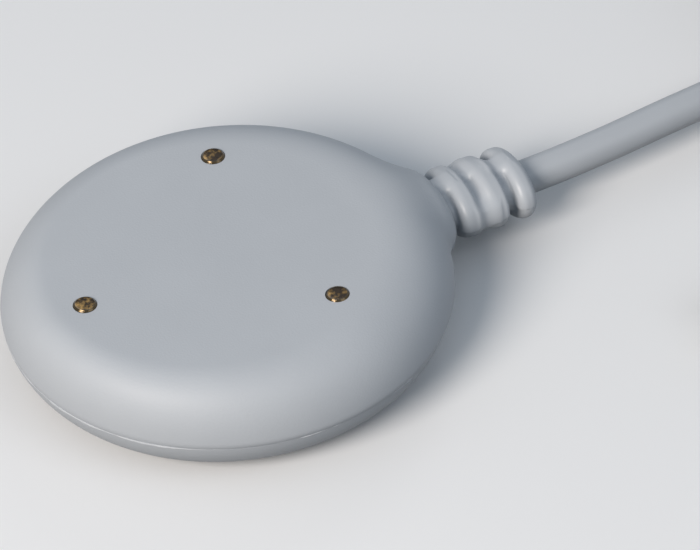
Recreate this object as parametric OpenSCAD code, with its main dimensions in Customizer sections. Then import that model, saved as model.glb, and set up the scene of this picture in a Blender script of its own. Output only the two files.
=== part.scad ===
// Water leak sensor: a round puck with three contact pins in its upper face, a ringed strain
// relief and a jacketed lead that ends in a modular plug. Drawn lying on its back, contacts up,
// with the origin at the centre of the rest face and the lead leaving along +X. Millimetres.

/* [Body] */
// Diameter of the body at the parting line
body_d = 50; // [48:1:60]
// Height of the parting line above the rest face
base_h = 4.8; // [4.6:0.1:6]
// Rise of the contact face above the parting line
dome_h = 8.2; // [8:0.1:10]
// Distance of the flat contact face's edge from the body's edge
face_inset = 8.5; // [7.4:0.1:8.8]
// How far the contact face sits back from the body's axis, away from the lead
face_shift = 0.8; // [0:0.1:2]
// Fullness of the shoulder round the contact face: 2 is an ellipse, more is squarer
dome_full = 2.35; // [2:0.05:2.6]
// Radius of the rounded lower edge
edge_r = 7.6; // [6:0.1:9]
// Thickness of the wall under the contact face
face_wall = 2; // [1.8:0.1:2.4]
// Thickness of the wall over the rest face
floor_wall = 1.8; // [1.4:0.1:2.2]
// Width of the wall at the parting line
rim_wall = 3.5; // [3.2:0.1:3.8]
// Radius inside the hollow, under the contact face
hollow_round = 4; // [3:0.1:4.5]
// Radius inside the hollow, over the rest face
floor_round = 2; // [1:0.1:2.4]

/* [Shell joint] */
// Width of the tongue on the base cover
tongue_w = 1; // [0.8:0.1:1.2]
// Height of the tongue
tongue_h = 1; // [0.8:0.1:1.4]
// Distance of the tongue from the hollow
tongue_inset = 0.8; // [0.6:0.1:1]
// Thickness of the seal ring above the tongue
seal_t = 0.6; // [0.4:0.1:0.8]
// Clearance at each side of the tongue
tongue_clear = 0.1; // [0.05:0.01:0.15]

/* [Contacts] */
// Diameter of a contact pin's head
pin_d = 2.6; // [2.4:0.1:3.2]
// Distance of the circle that the pins stand on from the body's edge
pin_inset = 9.15; // [9:0.05:10.5]
// How far the pin circle sits back from the body's axis, away from the lead
pin_shift = 1.5; // [1:0.1:2]
// Height of a pin head above the contact face
pin_proud = 0.25; // [0.1:0.05:0.5]
// Depth of a pin head below the contact face
head_depth = 0.7; // [0.5:0.1:0.9]
// Bevel round a pin head
pin_bevel = 0.12; // [0.05:0.01:0.2]
// Thickness of the seal washer under a pin head
washer_t = 0.4; // [0.3:0.05:0.6]
// Diameter of a pin's shank
shank_d = 1.9; // [1.6:0.1:2]
// Diameter of a pin's solder tail
tail_d = 1; // [0.8:0.1:1.2]
// Length of the solder tail below the board
tail_reach = 1.1; // [0.9:0.1:1.4]
// Diameter of the boss round each pin
boss_d = 5.2; // [4.6:0.1:5.6]
// Height of the bosses, which the board seats against
boss_h = 2.4; // [2.2:0.1:2.6]
// Clearance round a pin, all round
pin_clear = 0.05; // [0.03:0.01:0.08]

/* [Circuit board] */
// Room round the circuit board, up to the wall of the hollow
board_room = 2.7; // [2:0.1:2.8]
// Thickness of the circuit board
board_t = 1.6; // [1.2:0.1:1.8]
// Width of the board's notch for the lead
notch_w = 10; // [9.4:0.2:12]
// Depth of the notch
notch_depth = 4.3; // [3.9:0.1:4.7]
// Diameter of the board's support posts
post_d = 3.2; // [2.8:0.1:4]
// Diameter of the pegs on the posts
peg_d = 1.6; // [1.2:0.1:2]
// Height of the pegs
peg_h = 1.2; // [0.8:0.1:1.2]
// Distance of the posts from the board's centre
post_circle_r = 13; // [12:0.1:13.4]
// Clearance round a peg, all round
peg_clear = 0.1; // [0.05:0.01:0.2]

/* [Neck and strain relief] */
// Width of the neck across the lead
neck_w = 11.2; // [10.4:0.1:12]
// Height of the neck and the rings as a share of their width
flatness = 0.69; // [0.67:0.01:0.8]
// Reach of the neck past the body
neck_l = 1; // [0.8:0.1:2]
// Radius of the neck's flare into the body
flare_r = 25; // [22:1:40]
// Downward tilt of the strain relief in degrees
lead_tilt = 5; // [4:0.1:5.4]
// Height of the lead above the parting line where it leaves the strain relief
lead_rise = 0; // [0:0.1:0.4]
// Width of the strain relief's rings across the lead
ring_span = 10.2; // [9.6:0.1:10.8]
// Length of the first two rings along the lead
ring_w = 2.2; // [2:0.1:2.6]
// Length of the last ring along the lead
end_ring_w = 2.45; // [2.2:0.05:3]
// Radius of the rings' edges
ring_round = 0.8; // [0.4:0.1:0.95]
// Gap beside each ring
ring_gap = 1.25; // [0.9:0.05:1.6]
// Drop of the bridges between the rings below the rings' crests
bridge_drop = 0.2; // [0.1:0.05:0.6]
// Width of the bridges above and below the lead
bridge_w = 3; // [2:0.1:4]
// Height of the bridges at the sides of the lead
side_bridge_h = 2.2; // [1.6:0.1:3]
// Diameter of the strain relief at the bottom of its slots
slot_d = 5; // [4.8:0.1:5.2]
// Diameter of the strain relief's sleeve inside the neck
sleeve_d = 5.4; // [5.2:0.1:5.6]
// Diameter of the flange that the shells hold
flange_d = 8; // [7.6:0.1:8.2]
// Width of that flange
flange_w = 1.2; // [1:0.1:1.3]
// Wall between that flange and the hollow
flange_wall = 1.4; // [1.2:0.1:1.5]
// Reach of the sleeve into the hollow
sleeve_reach = 0.5; // [0.3:0.1:0.8]
// Clearance round the sleeve, all round
sleeve_clear = 0.1; // [0.05:0.01:0.15]
// Outside diameter of the stop ring on the jacket
stop_d = 5.4; // [5:0.1:5.5]
// Width of the stop ring
stop_w = 1.5; // [1:0.1:1.6]

/* [Lead] */
// Diameter of the lead
cable_d = 4; // [3.6:0.1:4.2]
// Clearance round the lead, all round
cable_clear = 0.05; // [0.03:0.01:0.1]
// Diameter of an insulated core
core_d = 1.1; // [0.8:0.05:1.15]
// Distance between the cores inside the jacket
core_spacing = 1.24; // [1.2:0.02:1.3]
// Spacing of the wire pads on the board
pad_pitch = 2.4; // [2.3:0.1:2.8]
// Distance of the wire pads from the end of the jacket
pad_gap = 7.5; // [7.1:0.1:7.7]
// Length of jacket past the stop ring
strip_l = 0.4; // [0.3:0.1:0.6]

/* [Coil of spare lead] */
// Radius of the coil's outermost turn, at the middle of the lead
coil_r = 29.5; // [29:0.5:36]
// Whole turns in the coil
coil_whole_turns = 12; // [10:1:12]
// Gap between turns in a layer
turn_gap = 0.6; // [0.5:0.05:0.8]
// Gap between layers
layer_gap = 0.5; // [0.45:0.05:0.8]
// Thickness of the tie
tie_t = 0.6; // [0.4:0.1:1]
// Width of the tie
tie_w = 5; // [3:0.5:6]
// Clearance between the tie and the coil's sides
tie_clear = 0.4; // [0.3:0.1:0.8]

/* [Plug] */
// Width of the plug
plug_w = 9.65; // [9.4:0.05:11]
// Height of the plug's body
plug_h = 6.6; // [6.5:0.1:7.2]
// Length of the plug's body
plug_l = 12.3; // [12:0.1:13]
// Length of the boot
boot_l = 10; // [8:0.5:11]
// Diameter of the boot at the plug
boot_d = 6.2; // [5.8:0.1:6.4]
// Diameter of the boot at its thin end
boot_tip_d = 5.2; // [5:0.1:5.6]
// Depth of the lead in the plug's body
plug_bore_l = 5; // [4:0.1:5.2]
// Number of contact blades
blade_count = 4; // [2, 4, 6]
// Spacing of the blades
blade_pitch = 1.02; // [0.95:0.01:1.1]
// Thickness of a blade
blade_t = 0.35; // [0.25:0.01:0.4]
// Length of a blade
blade_l = 4.4; // [3.6:0.1:4.6]
// Height of a blade
blade_h = 2.8; // [2.2:0.1:3.2]
// Width of the latch at its hinge
latch_w = 6; // [5:0.1:6.2]
// Width of the latch's thumb tab
latch_tab_w = 3.2; // [2.6:0.1:4]
// Length of the latch
latch_l = 13.5; // [12:0.1:14]
// Length of the latch's wide end
latch_wide_l = 6.2; // [5.4:0.1:7]
// Thickness of the latch
latch_t = 0.9; // [0.7:0.05:1]
// Angle of the latch above the plug at rest, in degrees
latch_angle = 13; // [13:0.5:15]
// Diameter of the latch's trunnions
trunnion_d = 0.9; // [0.8:0.05:1]
// Length of each trunnion
trunnion_l = 0.6; // [0.4:0.05:0.8]
// Running clearance round a trunnion, all round
trunnion_clear = 0.05; // [0.03:0.01:0.08]
// Clearance at the latch's sides
latch_side_clear = 0.15; // [0.1:0.01:0.3]

/* [Hidden] */
$fn = 96;
cut = 1;
HULL_FN = 64;
DOME_STEPS = 12;

// Levels
parting_z = base_h;
face_z = base_h + dome_h;
ceiling_z = face_z - face_wall;
board_top = ceiling_z - boss_h;
board_z = board_top - board_t;
washer_z = face_z - head_depth - washer_t;

// Body outline
body_r = body_d / 2;
face_r = body_r - face_inset;
edge_x = body_r - sqrt(2 * edge_r * base_h - base_h * base_h);
hollow_r = body_r - rim_wall - pin_shift;
hollow_edge_x = hollow_r - pin_shift;
tongue_r = body_r - rim_wall + tongue_inset;
board_r = hollow_r - board_room;

// Contact pins stand opposite the lead and at 60 degrees on each side of it
PIN_ANGLES = [180, 60, 300];
POST_ANGLES = [45, 135, 225, 315];
pin_r = body_r - pin_inset;

// The strain relief's own axis: distances are measured along it from the body's axis
neck_end = body_r + neck_l;
function ring_start(i) = neck_end + ring_gap + i * (ring_w + ring_gap);
exit_x = ring_start(2) + end_ring_w;
exit_z = parting_z + lead_rise;
sleeve_start = hollow_edge_x - sleeve_reach;
flange_x = hollow_edge_x + flange_wall;
stop_x = sleeve_start - sleeve_clear - stop_w;
jacket_end = stop_x - strip_l;
pad_x = jacket_end - pad_gap + pin_shift;
function on_lead(x, y, z) = [
    exit_x + (x - exit_x) * cos(lead_tilt) + z * sin(lead_tilt),
    y,
    exit_z - (x - exit_x) * sin(lead_tilt) + z * cos(lead_tilt)
];

// The free lead: [distance past the strain relief, distance to its left, height] of its open stretch.
// It runs straight, swings left and winds into the coil. Its ends run on square to what they meet
square_end = 0.5;
RUN = [
    [3, -0.1, 4.7], [7, -0.2, 4.7], [13, -0.15, 4.7], [19, 0.1, 4.7], [25, 0.45, 4.5], [29, 1, 4.1],
    [33, 2.4, 3.5], [36.6, 4.95, 2.95]
];
RUN_END = [39.4, 8.5];
COIL_FROM = 150;
COIL_WAY = [cos(COIL_FROM - 90), sin(COIL_FROM - 90), 0];
tie_seat = 0.1;
coil_z = tie_t + tie_seat + cable_d / 2;
run_end = [exit_x + RUN_END[0], RUN_END[1], coil_z];
coil_start = run_end + cable_d * COIL_WAY;
coil_x = coil_start[0] - coil_r * cos(COIL_FROM);
coil_y = coil_start[1] - coil_r * sin(COIL_FROM);
turn_pitch = cable_d + turn_gap;
layer_step = cable_d + layer_gap;
LAYERS = 4;
coil_turns = coil_whole_turns + (COIL_FROM + 90) / 360;
layer_turns = coil_turns / LAYERS;
coil_in_r = coil_r - layer_turns * turn_pitch;
coil_top = coil_z + (LAYERS - 1) * layer_step;
TURN_RINGS = 24;
CLIMB_TURNS = 0.5;

function clamped(u) = max(0, min(1, u));
function eased(u) = u * u * (3 - 2 * u);
function turn_radius(t) =
    let (back = t - 2 * layer_turns * floor(t / (2 * layer_turns)))
    coil_r - turn_pitch * min(back, 2 * layer_turns - back);
function turn_height(t) =
    coil_z + layer_step * eased(clamped((t - layer_turns) / CLIMB_TURNS + 0.5))
    + layer_step * eased(clamped((t - 2 * layer_turns) / CLIMB_TURNS + 0.5))
    + layer_step * eased(clamped((t - 3 * layer_turns) / CLIMB_TURNS + 0.5));
function turn_point(t) = [
    coil_x + turn_radius(t) * cos(COIL_FROM - 360 * t),
    coil_y + turn_radius(t) * sin(COIL_FROM - 360 * t),
    turn_height(t)
];
TURN_POINTS = [for (i = [0 : round(coil_turns * TURN_RINGS)]) turn_point(i / TURN_RINGS)];
LAST_TURN = TURN_POINTS[len(TURN_POINTS) - 1];

// The lead goes down from the coil to its plug: [distance past the coil's end, height]
TAIL = [[8, 15.6], [12, 14.1], [16, 11.7], [20, 9.1], [24, 6.5], [28, 4.5], [32, 3.5], [36, 3.3]];
plug_reach = 46;
plug_x = coil_x - plug_reach;
plug_y = LAST_TURN[1];
lead_in_plug_z = plug_h / 2;
tail_start = coil_x - cable_d;

run_path = concat(
    [for (x = [0, square_end]) on_lead(exit_x + x, 0, 0)],
    [for (p = RUN) [exit_x + p[0], p[1], p[2]]],
    [run_end - square_end * COIL_WAY, run_end]
);
coil_path = concat([run_end], TURN_POINTS, [[tail_start, plug_y, coil_top]]);
tail_path = concat(
    [for (x = [0, -square_end]) [tail_start + x, plug_y, coil_top]],
    [for (p = TAIL) [coil_x - p[0], plug_y, p[1]]],
    [for (x = [0, -plug_bore_l]) [plug_x + x, plug_y, lead_in_plug_z]]
);

function span(path, i = 1) = i >= len(path) ? 0 : norm(path[i] - path[i - 1]) + span(path, i + 1);
function self_gap(path, skip) = min([
    for (i = [0 : len(path) - 1 - skip]) min([
        for (j = [i + skip : len(path) - 1]) norm(path[i] - path[j])
    ])
]) - cable_d;
echo(free_lead_mm = span(run_path) + span(coil_path) + span(tail_path));
echo(least_gap_between_turns_mm = self_gap(coil_path, TURN_RINGS / 2));

// The plug lies with its nose towards -X and its latch up
hinge_setback = 1.5;
hinge_depth = 0.75;
hinge_x = plug_l - hinge_setback;
hinge_z = plug_h - hinge_depth;
latch_lift = 0.5;
root_room = 1;
pocket_l = 5;
pocket_back = hinge_x - pocket_l;
pocket_front = hinge_x + root_room;
pocket_z = hinge_z - root_room;
echo(latch_hinge_mm = [plug_x - hinge_x, plug_y, hinge_z]);
echo(plug_nose_mm = [plug_x - plug_l, plug_y, lead_in_plug_z]);

// Colours
SHELL = [0.68, 0.70, 0.72];
LEAD = [0.66, 0.68, 0.71];
BRASS = [0.62, 0.49, 0.25];
SOLDER = [0.72, 0.73, 0.75];
SEAL = [0.25, 0.26, 0.28];
BOARD = [0.10, 0.34, 0.20];
CHIP = [0.10, 0.10, 0.11];
CLEAR = [0.80, 0.84, 0.86, 0.6];
GOLD = [0.83, 0.66, 0.28];

// A tube along a path, its rings square to the path; side is any direction never along the path
function unit(v) = v / norm(v);
function heading(path, i) = unit(path[min(i + 1, len(path) - 1)] - path[max(i - 1, 0)]);
function tube_ring(path, i, r, sides, side) =
    let (t = heading(path, i), a = unit(cross(side, t)), b = cross(t, a))
    [for (k = [0 : sides - 1]) path[i] + r * (cos(360 * k / sides) * a + sin(360 * k / sides) * b)];

module tube(path, d, sides, side) {
    last = len(path) - 1;
    points = [for (i = [0 : last]) each tube_ring(path, i, d / 2, sides, side)];
    walls = [
        for (i = [0 : last - 1], k = [0 : sides - 1])
            let (a = i * sides + k, b = i * sides + (k + 1) % sides)
            each [[a, a + sides, b], [b, a + sides, b + sides]]
    ];
    ends = [
        for (k = [1 : sides - 2])
            each [[0, k, k + 1], [last * sides, last * sides + k + 1, last * sides + k]]
    ];
    polyhedron(points, concat(walls, ends));
}

// A ring with square section that stands on z = 0
module washer(r_in, r_out, h) {
    difference() {
        cylinder(r = r_out, h = h);
        translate([0, 0, -cut]) cylinder(r = r_in, h = h + 2 * cut);
    }
}

// Half a section whose far corner is round, for turning about the vertical axis
module round_section(r, h, corner) {
    square([r - corner, h]);
    square([r, h - corner]);
    translate([r - corner, h - corner]) circle(corner);
}

module on_pin(angle) {
    translate([pin_r * cos(angle) - pin_shift, pin_r * sin(angle), 0]) children();
}

module on_post(angle) {
    translate([post_circle_r * cos(angle) - pin_shift, post_circle_r * sin(angle), 0]) children();
}

// Along the strain relief's axis, x being the distance from the body's axis
module along_lead(x) {
    translate([exit_x, 0, exit_z]) rotate([0, lead_tilt, 0]) translate([x - exit_x, 0, 0])
        rotate([0, 90, 0]) children();
}

// Flattens a shape that is turned about the lead's axis
module flattened(share) {
    scale([share, 1, 1]) children();
}

// Shells

module dome() {
    sheet = 0.02;
    hull()
        for (i = [0 : DOME_STEPS])
            let (
                a = 90 * i / DOME_STEPS,
                out = pow(cos(a), 2 / dome_full),
                rise = dome_h * pow(sin(a), 2 / dome_full)
            )
            translate([-face_shift * (1 - out), 0, parting_z + rise - (i == 0 ? 0 : sheet)])
                cylinder(r = face_r + (body_r - face_r) * out, h = sheet, $fn = HULL_FN);
}

module neck() {
    reach = neck_end - hollow_edge_x;
    along_lead(hollow_edge_x)
        flattened(flatness)
            rotate_extrude()
                difference() {
                    square([neck_w, reach]);
                    translate([neck_w / 2 + flare_r, reach]) circle(flare_r);
                    translate([neck_w / 2, reach]) square([neck_w, cut]);
                }
}

module gland() {
    along_lead(hollow_edge_x - cut)
        cylinder(d = sleeve_d + 2 * sleeve_clear, h = neck_end - hollow_edge_x + 2 * cut);
    along_lead(flange_x - sleeve_clear)
        cylinder(d = flange_d + 2 * sleeve_clear, h = flange_w + 2 * sleeve_clear);
}

module hollow_above() {
    translate([-pin_shift, 0, parting_z - cut])
        rotate_extrude() round_section(hollow_r, ceiling_z - parting_z + cut, hollow_round);
}

module hollow_below() {
    translate([-pin_shift, 0, parting_z + cut]) mirror([0, 0, 1])
        rotate_extrude() round_section(hollow_r, parting_z - floor_wall + cut, floor_round);
}

module half_space(z_low, z_high) {
    translate([-body_d, -body_d, z_low]) cube([2 * body_d, 2 * body_d, z_high - z_low]);
}

module contact_cover() {
    color(SHELL)
        difference() {
            union() {
                difference() {
                    union() {
                        dome();
                        intersection() {
                            neck();
                            half_space(parting_z, face_z);
                        }
                    }
                    hollow_above();
                }
                for (a = PIN_ANGLES)
                    on_pin(a) translate([0, 0, board_top]) cylinder(d = boss_d, h = boss_h + face_wall / 2);
            }
            translate([0, 0, parting_z - cut])
                washer(
                    tongue_r - tongue_clear, tongue_r + tongue_w + tongue_clear,
                    tongue_h + seal_t + cut
                );
            gland();
            for (a = PIN_ANGLES)
                on_pin(a) {
                    translate([0, 0, board_top - cut])
                        cylinder(d = shank_d + 2 * pin_clear, h = face_z - board_top + 2 * cut);
                    translate([0, 0, washer_z])
                        cylinder(d = pin_d + 2 * pin_clear, h = face_z - washer_z + cut);
                }
        }
}

module base_cover() {
    color(SHELL)
        difference() {
            union() {
                difference() {
                    union() {
                        rotate_extrude()
                            intersection() {
                                square([body_r, base_h]);
                                union() {
                                    square([edge_x, base_h]);
                                    translate([edge_x, edge_r]) circle(edge_r);
                                }
                            }
                        intersection() {
                            neck();
                            half_space(0, parting_z);
                        }
                    }
                    hollow_below();
                }
                translate([0, 0, parting_z - cut]) washer(tongue_r, tongue_r + tongue_w, tongue_h + cut);
                for (a = POST_ANGLES)
                    on_post(a) translate([0, 0, floor_wall / 2]) {
                        cylinder(d = post_d, h = board_z - floor_wall / 2);
                        cylinder(d = peg_d, h = board_z + peg_h - floor_wall / 2);
                    }
            }
            gland();
        }
}

module seal_ring() {
    color(SEAL)
        difference() {
            translate([0, 0, parting_z + tongue_h]) washer(tongue_r, tongue_r + tongue_w, seal_t);
            gland();
        }
}

// Contacts

module contact_pin(angle) {
    head_h = head_depth + pin_proud;
    color(BRASS)
        on_pin(angle) {
            translate([0, 0, face_z - head_depth]) {
                cylinder(d = pin_d, h = head_h - pin_bevel);
                translate([0, 0, head_h - pin_bevel])
                    cylinder(d1 = pin_d, d2 = pin_d - 2 * pin_bevel, h = pin_bevel);
            }
            translate([0, 0, board_top]) cylinder(d = shank_d, h = face_z - head_depth - board_top);
            translate([0, 0, board_z - tail_reach]) cylinder(d = tail_d, h = board_t + tail_reach);
        }
}

module contact_pin_1() {
    contact_pin(PIN_ANGLES[0]);
}

module contact_pin_2() {
    contact_pin(PIN_ANGLES[1]);
}

module contact_pin_3() {
    contact_pin(PIN_ANGLES[2]);
}

module pin_seals() {
    color(SEAL)
        for (a = PIN_ANGLES)
            on_pin(a) translate([0, 0, washer_z]) washer(shank_d / 2 + pin_clear, pin_d / 2, washer_t);
}

// Circuit board. Its parts sit on its underside, in a frame that hangs from it

module under_board() {
    translate([-pin_shift, 0, board_z]) mirror([0, 0, 1]) children();
}

// Solder cone with a hole for what it holds
module solder_cone(d_hole) {
    solder_h = 0.8;
    solder_skirt = 0.5;
    solder_tip = 0.2;
    difference() {
        cylinder(r1 = d_hole / 2 + solder_skirt, r2 = d_hole / 2 + solder_tip, h = solder_h);
        translate([0, 0, -cut]) cylinder(d = d_hole, h = solder_h + 2 * cut);
    }
}

module circuit_board() {
    color(BOARD)
        difference() {
            translate([-pin_shift, 0, board_z]) cylinder(r = board_r, h = board_t);
            translate([board_r - notch_depth - pin_shift, -notch_w / 2, board_z - cut])
                cube([board_r, notch_w, board_t + 2 * cut]);
            for (a = PIN_ANGLES)
                on_pin(a) translate([0, 0, board_z - cut])
                    cylinder(d = tail_d + 2 * pin_clear, h = board_t + 2 * cut);
            for (a = POST_ANGLES)
                on_post(a) translate([0, 0, board_z - cut])
                    cylinder(d = peg_d + 2 * peg_clear, h = board_t + 2 * cut);
        }
}

// Package sizes, places and lead rows on the board: length, width, height, then x, y
STANDOFF = 0.1;
CHIP_SIZE = [4.9, 3.9, 1.45];
CHIP_AT = [-4, 0];
CHIP_LEAD_PITCH = 1.27;
TRANSISTOR_SIZE = [2.9, 1.3, 1];
TRANSISTOR_AT = [4, 6];
TRANSISTOR_LEAD_PITCH = 0.95;
DIODE_SIZE = [2.6, 4.3, 2.1];
DIODE_AT = [4.5, -6.2];
RESISTOR_SIZE = [1.6, 0.8, 0.45];
RESISTORS_AT = [[1.6, 2], [1.6, 0], [1.6, -2], [0.4, 6.4], [-4, 5.6], [-8.6, -3]];
CAPACITOR_SIZE = [2, 1.25, 1.1];
CAPACITORS_AT = [[5, 1.2], [5, -1.2], [-4, -5.8], [-9, 3]];
LEAD_FOOT = 0.6;
LEAD_T = 0.2;

module package(size, at) {
    translate([at[0] - size[0] / 2, at[1] - size[1] / 2, STANDOFF]) cube(size);
}

// A bent lead from a package's side, along +Y, down to the board
module bent_lead(size, at, x, side, w) {
    rise = STANDOFF + size[2] / 2;
    bend = 0.5;
    translate([at[0] + x, at[1], 0]) mirror([0, side < 0 ? 1 : 0, 0])
        translate([w / 2, size[1] / 2, 0]) rotate([90, 0, -90]) mirror([1, 0, 0])
            linear_extrude(w)
                polygon([
                    [0, rise], [bend, rise], [bend, LEAD_T], [bend + LEAD_FOOT, LEAD_T],
                    [bend + LEAD_FOOT, 0], [bend - LEAD_T, 0], [bend - LEAD_T, rise - LEAD_T],
                    [0, rise - LEAD_T]
                ]);
}

module sensing_chip() {
    color(CHIP) under_board() package(CHIP_SIZE, CHIP_AT);
}

module output_transistor() {
    color(CHIP) under_board() package(TRANSISTOR_SIZE, TRANSISTOR_AT);
}

module surge_diode() {
    color(CHIP) under_board() package(DIODE_SIZE, DIODE_AT);
}

module component_leads() {
    chip_lead_w = 0.42;
    transistor_lead_w = 0.4;
    diode_lead_w = 1.5;
    color(SOLDER)
        under_board() {
            for (side = [-1, 1], i = [-1.5 : 1 : 1.5])
                bent_lead(CHIP_SIZE, CHIP_AT, i * CHIP_LEAD_PITCH, side, chip_lead_w);
            for (x = [-TRANSISTOR_LEAD_PITCH, TRANSISTOR_LEAD_PITCH])
                bent_lead(TRANSISTOR_SIZE, TRANSISTOR_AT, x, 1, transistor_lead_w);
            bent_lead(TRANSISTOR_SIZE, TRANSISTOR_AT, 0, -1, transistor_lead_w);
            for (side = [-1, 1]) bent_lead(DIODE_SIZE, DIODE_AT, 0, side, diode_lead_w);
        }
}

module blocks(size, places) {
    for (at = places) translate([at[0] - size[0] / 2, at[1] - size[1] / 2, 0]) cube(size);
}

module chip_resistors() {
    color(CHIP) under_board() blocks(RESISTOR_SIZE, RESISTORS_AT);
}

module chip_capacitors() {
    color([0.55, 0.43, 0.30]) under_board() blocks(CAPACITOR_SIZE, CAPACITORS_AT);
}

module pin_solder_joints() {
    color(SOLDER)
        for (a = PIN_ANGLES)
            on_pin(a) translate([0, 0, board_z]) mirror([0, 0, 1]) solder_cone(tail_d + 2 * pin_clear);
}

// Rows of the four cores: pad number from the middle, and where the core sits in the jacket
CORES = [[-1.5, -1, -1], [-0.5, -1, 1], [0.5, 1, 1], [1.5, 1, -1]];
function pad_y(i) = CORES[i][0] * pad_pitch;

module wire_solder_joints() {
    color(SOLDER)
        under_board()
            for (i = [0 : 3]) translate([pad_x, pad_y(i), 0]) solder_cone(core_d + 2 * cable_clear);
}

// A core bends down from the jacket, runs under the board and turns up to its pad: distance from
// the pad, share of the way across to it, height over the lowest run, share of its place in the jacket
CORE_ROUTE = [
    [5, 0.4, 1.05, 1.2], [3.4, 0.7, 0.2, 0], [1.8, 1, 0, 0],
    [0.8, 1, 0.15, 0], [0.2, 1, 0.65, 0], [0, 1, 1.3, 0]
];
CORE_DROP = 2.1;
CORE_STRAIGHT = 0.8;

module core(i) {
    y = CORES[i][1] * core_spacing / 2;
    z = CORES[i][2] * core_spacing / 2;
    low = board_z - CORE_DROP;
    x = pad_x - pin_shift;
    path = [
        on_lead(jacket_end, y, z), on_lead(jacket_end - CORE_STRAIGHT, y, z),
        for (p = CORE_ROUTE) [x + p[0], y + (pad_y(i) - y) * p[1], low + p[2] + z * p[3]],
        [x, pad_y(i), board_z]
    ];
    tube(path, core_d, 8, [0, 1, 0]);
}

module core_red() {
    color("firebrick") core(0);
}

module core_black() {
    color([0.08, 0.08, 0.08]) core(1);
}

module core_yellow() {
    color("goldenrod") core(2);
}

module core_white() {
    color("whitesmoke") core(3);
}

// Strain relief and lead

module ring(w) {
    r = ring_span / 2;
    flattened(flatness)
        rotate_extrude() {
            square([r - ring_round, w]);
            translate([0, ring_round]) square([r, w - 2 * ring_round]);
            for (y = [ring_round, w - ring_round]) translate([r - ring_round, y]) circle(ring_round);
        }
}

// Two bridges across a gap, above and below the lead or, turned, at its sides
module bridges(turned) {
    lap = ring_w / 4;
    d = ring_span - 2 * bridge_drop;
    w = turned ? side_bridge_h : bridge_w;
    intersection() {
        flattened((ring_span * flatness - 2 * bridge_drop) / d) cylinder(d = d, h = ring_gap + lap);
        rotate([0, 0, turned ? 0 : 90]) translate([-w / 2, -d, 0]) cube([w, 2 * d, ring_gap + lap]);
    }
}

module strain_relief() {
    color(SHELL)
        difference() {
            union() {
                along_lead(sleeve_start) cylinder(d = sleeve_d, h = neck_end - sleeve_start);
                along_lead(neck_end) cylinder(d = slot_d, h = exit_x - ring_w / 2 - neck_end);
                along_lead(flange_x) cylinder(d = flange_d, h = flange_w);
                for (i = [0 : 2]) along_lead(ring_start(i)) ring(i == 2 ? end_ring_w : ring_w);
                for (i = [0 : 2]) along_lead(ring_start(i) - ring_gap) bridges(i == 1);
            }
            along_lead(sleeve_start - cut)
                cylinder(d = cable_d + 2 * cable_clear, h = exit_x - sleeve_start + 2 * cut);
        }
}

module cable_entry() {
    color(LEAD) along_lead(jacket_end) cylinder(d = cable_d, h = exit_x - jacket_end);
}

module pull_stop() {
    color(SOLDER) along_lead(stop_x) washer(cable_d / 2 + cable_clear, stop_d / 2, stop_w);
}

module cable_run() {
    color(LEAD) tube(run_path, cable_d, 12, [0, 0, 1]);
}

module cable_coil() {
    color(LEAD) tube(coil_path, cable_d, 6, [0, 0, 1]);
}

module cable_tail() {
    color(LEAD) tube(tail_path, cable_d, 12, [0, 1, 0]);
}

module round_rect(w, h, r) {
    translate([r, 0]) square([w - 2 * r, h]);
    translate([0, r]) square([w, h - 2 * r]);
    for (x = [r, w - r], y = [r, h - r]) translate([x, y]) circle(r);
}

// A flat tie round all the turns, on the far side of the coil
module coil_tie() {
    tie_corner = 1.2;
    w = coil_r - coil_in_r + cable_d + 2 * tie_clear;
    h = coil_top - coil_z + cable_d + 2 * tie_seat;
    translate([coil_x + coil_in_r - cable_d / 2 - tie_clear, coil_y + tie_w / 2, 0]) rotate([90, 0, 0])
        color(SEAL)
            linear_extrude(tie_w)
                difference() {
                    translate([-tie_t, 0]) round_rect(w + 2 * tie_t, h + 2 * tie_t, tie_corner + tie_t);
                    translate([0, tie_t]) square([w, h]);
                }
}

// Plug, in a frame whose x runs from the plug's rear to its nose

module at_plug() {
    translate([plug_x, plug_y, 0]) rotate([0, 0, 180]) children();
}

module plug_boot() {
    color(LEAD)
        at_plug() translate([-boot_l, 0, lead_in_plug_z]) rotate([0, 90, 0])
            difference() {
                cylinder(d1 = boot_tip_d, d2 = boot_d, h = boot_l);
                translate([0, 0, -cut]) cylinder(d = cable_d + 2 * cable_clear, h = boot_l + 2 * cut);
            }
}

module for_blades() {
    for (i = [0 : blade_count - 1]) translate([0, (i - (blade_count - 1) / 2) * blade_pitch, 0]) children();
}

BLADE_RECESS = 0.3;
BLADE_CLEAR = 0.05;

module plug_body() {
    pocket_w = latch_w + 2 * latch_side_clear;
    crimp_l = 2;
    crimp_depth = 0.7;
    color(CLEAR)
        at_plug()
            difference() {
                translate([0, -plug_w / 2, 0]) cube([plug_l, plug_w, plug_h]);
                translate([-cut, 0, lead_in_plug_z]) rotate([0, 90, 0])
                    cylinder(d = cable_d + 2 * cable_clear, h = plug_bore_l + cut);
                translate([pocket_back, -pocket_w / 2, pocket_z])
                    cube([pocket_front - pocket_back, pocket_w, plug_h - pocket_z + cut]);
                translate([hinge_x, -pocket_w / 2 - trunnion_l, hinge_z]) rotate([-90, 0, 0])
                    cylinder(d = trunnion_d + 2 * trunnion_clear, h = pocket_w + 2 * trunnion_l);
                translate([crimp_l, -plug_w / 3, -cut]) cube([crimp_l, plug_w / 1.5, crimp_depth + cut]);
                for_blades()
                    translate([
                        plug_l - BLADE_RECESS - blade_l - BLADE_CLEAR, -blade_t / 2 - BLADE_CLEAR, -cut
                    ])
                        cube([
                            blade_l + BLADE_RECESS + BLADE_CLEAR + cut, blade_t + 2 * BLADE_CLEAR,
                            blade_h + BLADE_RECESS + cut
                        ]);
            }
}

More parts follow.
